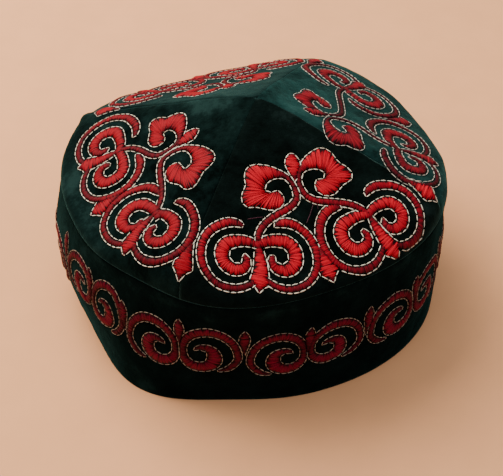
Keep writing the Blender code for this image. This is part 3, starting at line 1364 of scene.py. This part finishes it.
GORE_LAYOUTS = (
    GoreLayout(
        side=Side.FRONT,
        meet=(0.4, 42.2),
        bud_lean=2.4,
        left_pair=PairSeat(-25.6, 58.9, 14.0, HornSeat(-18.3, 67.6, 1.00), HornSeat(-36.7, 62.3, 0.95)),
        right_pair=PairSeat(26.1, 61.7, 9.5, HornSeat(16.7, 68.2, 1.02), HornSeat(35.2, 64.9, 0.94)),
        left_fan=FanSeat(0.97, 1.0),
        right_fan=FanSeat(0.99, -1.0),
        tulip=(-1.0, 83.0),
        corner_tulip=(59.8, 61.2),
    ),
    GoreLayout(
        side=Side.LEFT,
        meet=(-0.2, 41.6),
        bud_lean=-3.0,
        left_pair=PairSeat(-21.3, 60.0, 10.0, HornSeat(-12.9, 67.8, 1.03), HornSeat(-31.0, 64.0, 1.03)),
        right_pair=PairSeat(27.0, 60.1, 19.0, HornSeat(22.4, 67.3, 1.03), HornSeat(37.3, 61.0, 0.985)),
        left_fan=FanSeat(0.93, 2.0),
        right_fan=FanSeat(1.04, 1.0),
        tulip=(4.3, 83.5),
        corner_tulip=(60.4, 61.4),
        thread=Finish.RED_LEFT,
        stitch_thick_mm=0.45,
    ),
    GoreLayout(
        side=Side.RIGHT,
        meet=(-10.2, 33.6),
        bud_lean=1.6,
        left_pair=PairSeat(-31.2, 57.6, 16.0, HornSeat(-22.4, 64.4, 1.04), HornSeat(-41.0, 59.4, 0.93)),
        right_pair=PairSeat(21.4, 56.4, 24.0, HornSeat(15.6, 66.4, 1.05), HornSeat(32.4, 58.0, 1.02)),
        left_fan=FanSeat(0.92, -4.0),
        right_fan=FanSeat(0.86, 10.0),
        tulip=(-3.2, 82.6),
        corner_tulip=(57.0, 60.0),
        thread=Finish.RED_RIGHT,
        cord=Finish.SOFT_CREAM,
        stitch_thick_mm=0.42,
        inset_mm=0.62,
    ),
    GoreLayout(
        side=Side.BACK,
        meet=(0.0, 40.0),
        bud_lean=1.0,
        left_pair=PairSeat(-26.0, 59.5, 13.0, HornSeat(-17.6, 67.6, 1.00), HornSeat(-36.4, 62.6, 0.96)),
        right_pair=PairSeat(26.0, 59.5, 13.0, HornSeat(17.4, 67.4, 1.00), HornSeat(36.2, 62.8, 0.96)),
        left_fan=FanSeat(0.97, 0.0),
        right_fan=FanSeat(0.98, 0.0),
        tulip=(0.0, 82.0),
        corner_tulip=(60.0, 59.5),
        thread=Finish.RED_LEFT,
        cord=Finish.SOFT_CREAM,
        stitch_thick_mm=0.46,
    ),
)


@dataclass
class CrownDesign:
    """The ram's-horn design of one gore: two pairs of horns, two fans, a bud and the tulips."""

    layout: GoreLayout
    stem_width_mm: float = 3.2
    stem_rise: Point = (6.8, -11.8)
    stem_fall: Point = (1.3, 12.0)
    stem_head: Point = (1.4, 0.5)
    stem_steps: int = 9
    corner_reach_mm: float = 1.5
    bud_drop_mm: float = 14.0

    def columns(self) -> list[SatinColumn]:
        """The gore's satin columns, from the underlying ones to those stitched over them."""
        layout = self.layout
        columns = []
        for hand, seat in ((-1.0, layout.left_pair), (1.0, layout.right_pair)):
            columns += self._pair(hand, seat)
        columns.append(self._leaf(TULIP, layout.tulip, (0.0, 1.0)))
        corner = Vector(layout.corner_tulip).normalized()
        tip = Vector(layout.corner_tulip) + corner * self.corner_reach_mm
        columns.append(self._leaf(TULIP, (tip.x, tip.y), (corner.x, corner.y)))
        lean = Vector((layout.bud_lean, -self.bud_drop_mm)).normalized()
        columns.append(self._leaf(BUD, layout.meet, (lean.x, lean.y)))
        for hand, seat, fan in (
            (-1.0, layout.left_pair, layout.left_fan),
            (1.0, layout.right_pair, layout.right_fan),
        ):
            columns.append(self._fan(hand, seat, fan))
        return [SatinColumn(ladder, inset_mm=layout.inset_mm) for ladder in columns]

    def _pair(self, hand: float, seat: PairSeat) -> list[Ladder]:
        """The ladders of a pair of horns.

        Args:
            hand: -1 on the gore's left half, 1 on its right.
            seat: where the pair sits.

        Returns:
            The crescents, trunk and arms.
        """
        turn = math.radians(seat.lean)
        inward = Vector((-hand * math.cos(turn), math.sin(turn)))
        along = Vector((hand * math.sin(turn), math.cos(turn)))

        def curl(turns: Sequence[Turn], horn: HornSeat, away: float) -> Ladder:
            """A ladder round a horn's eye, which lies away from the trunk on one side."""
            spine = []
            for stop in turns:
                angle = math.radians(stop.angle)
                heading = inward * (away * math.cos(angle)) - along * math.sin(angle)
                spot = Vector((horn.across, horn.out)) + heading * (stop.reach * horn.size)
                spine.append((spot.x, spot.y, stop.width * horn.size))
            return spine_ladder(spine)

        trunk = []
        for stage in TRUNK:
            spot = Vector((seat.across, seat.out)) + inward * stage.side + along * stage.along
            trunk.append((spot.x, spot.y, stage.width))
        return [
            curl(CRESCENT + SHORT_TIP, seat.inner, 1.0),
            curl(CRESCENT + LONG_TIP, seat.outer, -1.0),
            spine_ladder(trunk),
            curl(HORN_ARM, seat.inner, 1.0),
            curl(HORN_ARM, seat.outer, -1.0),
        ]

    def _leaf(self, stages: Sequence[Stage], root: Point, heading: Point) -> Ladder:
        """The ladder of a leaf that runs from a root in a heading."""
        spine = []
        for stage in stages:
            x = root[0] + heading[0] * stage.along - heading[1] * stage.side
            y = root[1] + heading[1] * stage.along + heading[0] * stage.side
            spine.append((x, y, stage.width))
        return spine_ladder(spine)

    def _fan(self, hand: float, seat: PairSeat, fan: FanSeat) -> Ladder:
        """The ladder of a stem that climbs from a pair's trunk and opens into a fan."""
        meet_x, meet_y = self.layout.meet
        foot = Vector((seat.across, seat.out))
        head = Vector((meet_x + hand * self.stem_head[0], meet_y + self.stem_head[1]))
        leave = foot + Vector((-hand * self.stem_rise[0], self.stem_rise[1]))
        arrive = head + Vector((-hand * self.stem_fall[0], self.stem_fall[1]))
        rungs = []
        for step in range(self.stem_steps):
            t = step / self.stem_steps
            s = 1.0 - t
            spot = foot * s**3 + leave * 3.0 * s**2 * t + arrive * 3.0 * s * t**2 + head * t**3
            along = (leave - foot) * s**2 + (arrive - leave) * 2.0 * s * t + (head - arrive) * t**2
            along.normalize()
            half = Vector((-along.y, along.x)) * (-hand * self.stem_width_mm / 2.0)
            rungs.append(((spot.x + half.x, spot.y + half.y), (spot.x - half.x, spot.y - half.y)))
        turn = math.radians(fan.turn)

        def place(side: float, up: float) -> Point:
            """A place beside and above the stems' meeting place."""
            turned_side = (side * math.cos(turn) - up * math.sin(turn)) * fan.size
            turned_up = (side * math.sin(turn) + up * math.cos(turn)) * fan.size
            return meet_x + hand * turned_side, meet_y - turned_up

        for rung in FAN:
            rungs.append((place(rung.outer_side, rung.outer_up), place(rung.inner_side, rung.inner_up)))
        return rung_ladder(rungs)


# Loose ends of thread that lie on the front gore: mm across, mm out and thickness

STRAY_ENDS = (
    ((4.7, 50.8, 0.34), (1.4, 54.5, 0.30), (-2.3, 58.1, 0.26)),
    ((5.8, 51.3, 0.30), (5.7, 52.8, 0.28), (5.2, 54.2, 0.24)),
    ((-26.3, 49.6, 0.24), (-22.5, 50.1, 0.26), (-18.9, 50.7, 0.24)),
)


# The band's design

BAND_CURL = rows_of(Turn, (
    (-58, 12.6, 1.6), (-36, 14.6, 3.6), (-10, 15.9, 3.6), (14, 15.8, 3.8), (36, 16.2, 4.3),
    (60, 16.2, 5.0), (85, 14.9, 5.2), (111, 12.6, 4.6), (138, 10.1, 3.8), (168, 8.3, 3.4),
    (200, 8.2, 4.4), (234, 8.3, 5.8), (267, 8.0, 6.5), (302, 7.3, 6.9), (338, 6.1, 6.9),
    (388, 5.5, 5.8), (425, 5.2, 4.4), (466, 4.6, 3.0), (503, 4.3, 0.5),
))
BAND_BUD = rows_of(Stage, (
    (-8.5, 0.0, 0.6), (-5.0, 0.0, 2.2), (0.0, 0.0, 4.6), (3.0, 0.0, 5.0), (5.8, 0.0, 3.4),
    (8.0, 0.0, 0.6),
))


@dataclass(frozen=True)
class BandUnit:
    """One curl of the band's row and the bud at its left end.

    The direction of that end is in degrees, the heights of the curl's foot and top and of the bud's tip
    are in mm, and so is the bud's lean to the right.
    """

    start: float
    foot: float
    top: float
    bud: float
    lean: float = 0.0


FRONT_UNITS = rows_of(BandUnit, (
    (-91.5, 28.5, 56.0, 57.0, -3.0), (-76.6, 24.5, 55.0, 54.5, -3.0), (-63.0, 21.3, 50.6, 49.5, -2.4),
    (-45.6, 20.8, 51.4, 53.4, 0.4), (-27.2, 18.0, 47.2, 49.9, 0.4), (-8.4, 20.0, 46.2, 46.4, 1.5),
    (11.0, 18.0, 46.0, 45.8, 2.6), (30.6, 19.0, 47.0, 46.2, 2.2),
))
ROW_END = 49.0
HIDDEN_UNITS = 12


@dataclass
class BandDesign:
    """The row of mirrored curls and buds round the band."""

    ground: BandGround
    wide_mm: float = 28.4
    tall_mm: float = 30.6
    eye_from_end_mm: float = 9.9
    eye_over_foot_mm: float = 12.2

    def _row(self) -> list[BandUnit]:
        """Every unit round the band, the seen ones as stitched and the rest evenly spaced."""
        gap = FRONT_UNITS[0].start + 360.0 - ROW_END
        hidden = [
            BandUnit(start=wrapped(ROW_END + gap * number / HIDDEN_UNITS), foot=20.0, top=48.0, bud=49.0)
            for number in range(HIDDEN_UNITS)
        ]
        return list(FRONT_UNITS) + hidden

    def columns(self) -> list[SatinColumn]:
        """The row's satin columns."""
        row = self._row()
        ladders = []
        for number, unit in enumerate(row):
            start = self.ground.length_to(unit.start)
            end = self.ground.length_to(row[(number + 1) % len(row)].start)
            wide = (end - start) % self.ground.round_mm
            ladders += self._unit(number, unit, start, wide)
        return [SatinColumn(ladder) for ladder in ladders]

    def _unit(self, number: int, unit: BandUnit, start: float, wide: float) -> list[Ladder]:
        """The curl of one unit and the bud at its left end."""
        mirrored = number % 2 == 0
        across_scale = wide / self.wide_mm
        up_scale = (unit.top - unit.foot) / self.tall_mm
        eye_up = unit.foot + self.eye_over_foot_mm * up_scale
        spine = []
        for stop in BAND_CURL:
            angle = math.radians(stop.angle)
            from_end = (self.eye_from_end_mm + stop.reach * math.cos(angle)) * across_scale
            x = start + (wide - from_end if mirrored else from_end)
            y = eye_up + stop.reach * math.sin(angle) * up_scale
            spine.append((x, y, stop.width * (across_scale + up_scale) / 2.0))
        tip = BAND_BUD[-1].along
        bud = []
        for stage in BAND_BUD:
            lean = unit.lean * (stage.along - BAND_BUD[0].along) / (tip - BAND_BUD[0].along)
            bud.append((start + stage.side + lean, unit.bud - tip + stage.along, stage.width))
        return [spine_ladder(spine), spine_ladder(bud)]


# Studio


@dataclass(frozen=True)
class Lamp:
    """A square soft light: its place and size in metres, its power in watts and its colour."""

    name: str
    place: tuple[float, float, float]
    size: float
    power: float
    colour: Colour


LAMPS = (
    Lamp("key_light", (-0.32, 0.60, 0.90), 0.90, 23.0, (1.0, 0.90, 0.78)),
    Lamp("fill_light", (0.10, -0.45, 1.2), 1.4, 3.0, (1.0, 0.96, 0.92)),
    Lamp("back_light", (0.5, 1.2, 0.7), 1.0, 1.5, (0.96, 0.98, 1.0)),
)


@dataclass
class Studio:
    """The pale floor, the soft lights and the camera."""

    azimuth: float = -23.5
    elevation: float = 43.22
    distance: float = 0.4805
    target: tuple[float, float, float] = (-0.0072, -0.0154, 0.040)
    focal_px: float = 993.9
    frame_px: float = 503.0
    sensor_mm: float = 36.0
    floor_half: float = 12.0
    clip_start: float = 0.01
    lit_height: float = 0.05
    sky: Colour = (0.87, 0.94, 1.0)
    sky_strength: float = 0.58

    def build(self) -> None:
        """Sets up the floor, world, lights and camera."""
        self._floor()
        self._world()
        for lamp in LAMPS:
            self._light(lamp)
        self._camera()

    def _floor(self) -> None:
        """The plain pale floor."""
        shape = bmesh.new()
        bmesh.ops.create_grid(shape, x_segments=1, y_segments=1, size=self.floor_half)
        floor = finished("floor", shape, (Finish.FLOOR,))

    def _world(self) -> None:
        """An even pale surrounding light."""
        world = bpy.data.worlds.new("studio")
        bpy.context.scene.world = world
        world.use_nodes = True
        background = world.node_tree.nodes["Background"]
        background.inputs["Color"].default_value = (*self.sky, 1.0)
        background.inputs["Strength"].default_value = self.sky_strength

    def _light(self, lamp: Lamp) -> None:
        """Hangs one of the lights, facing the cap."""
        light = bpy.data.lights.new(lamp.name, "AREA")
        light.size = lamp.size
        light.energy = lamp.power
        light.color = lamp.colour
        held = bpy.data.objects.new(lamp.name, light)
        held.location = lamp.place
        towards = Vector((0.0, 0.0, self.lit_height)) - Vector(lamp.place)
        held.rotation_euler = towards.to_track_quat("-Z", "Y").to_euler()
        bpy.context.collection.objects.link(held)

    def _camera(self) -> None:
        """The camera at the photograph's angle."""
        turn = math.radians(self.azimuth)
        climb = math.radians(self.elevation)
        back = Vector((math.sin(turn) * math.cos(climb), -math.cos(turn) * math.cos(climb), math.sin(climb)))
        camera = bpy.data.cameras.new("camera")
        camera.sensor_width = self.sensor_mm
        camera.lens = self.sensor_mm * self.focal_px / self.frame_px
        camera.clip_start = self.clip_start
        eye = bpy.data.objects.new("camera", camera)
        eye.location = Vector(self.target) + back * self.distance
        eye.rotation_euler = (-back).to_track_quat("-Z", "Y").to_euler()
        bpy.context.collection.objects.link(eye)
        bpy.context.scene.camera = eye


def main() -> None:
    """Builds the dressed cap and its studio."""
    logging.basicConfig(level=logging.INFO, format="%(message)s")
    form = CapForm()
    for side in Side:
        CrownGore(form, side).build()
    SideBand(form).build()
    for number, layout in enumerate(GORE_LAYOUTS):
        ground = GoreGround(form, layout.side.direction)
        Embroidery(
            f"crown_{layout.side.label}", ground, CrownDesign(layout).columns(),
            CROWN_SEED + SEED_STEP * number, layout.thread, layout.cord,
            stitch_thick_mm=layout.stitch_thick_mm,
        ).build()
    strays = [SatinColumn(spine_ladder(end), inset_mm=0.0) for end in STRAY_ENDS]
    ground = GoreGround(form, Side.FRONT.direction)
    Embroidery(
        "stray_threads", ground, strays, STRAY_SEED, Finish.STRAY, rise_mm=0.3, outlined=False,
    ).build()
    ground = BandGround(form)
    Embroidery(
        "band", ground, BandDesign(ground).columns(), BAND_SEED, Finish.CRIMSON, Finish.DULL_CREAM,
        rise_mm=0.8, stitch_thick_mm=0.36,
    ).build()
    Studio().build()


if __name__ == "__main__":
    main()
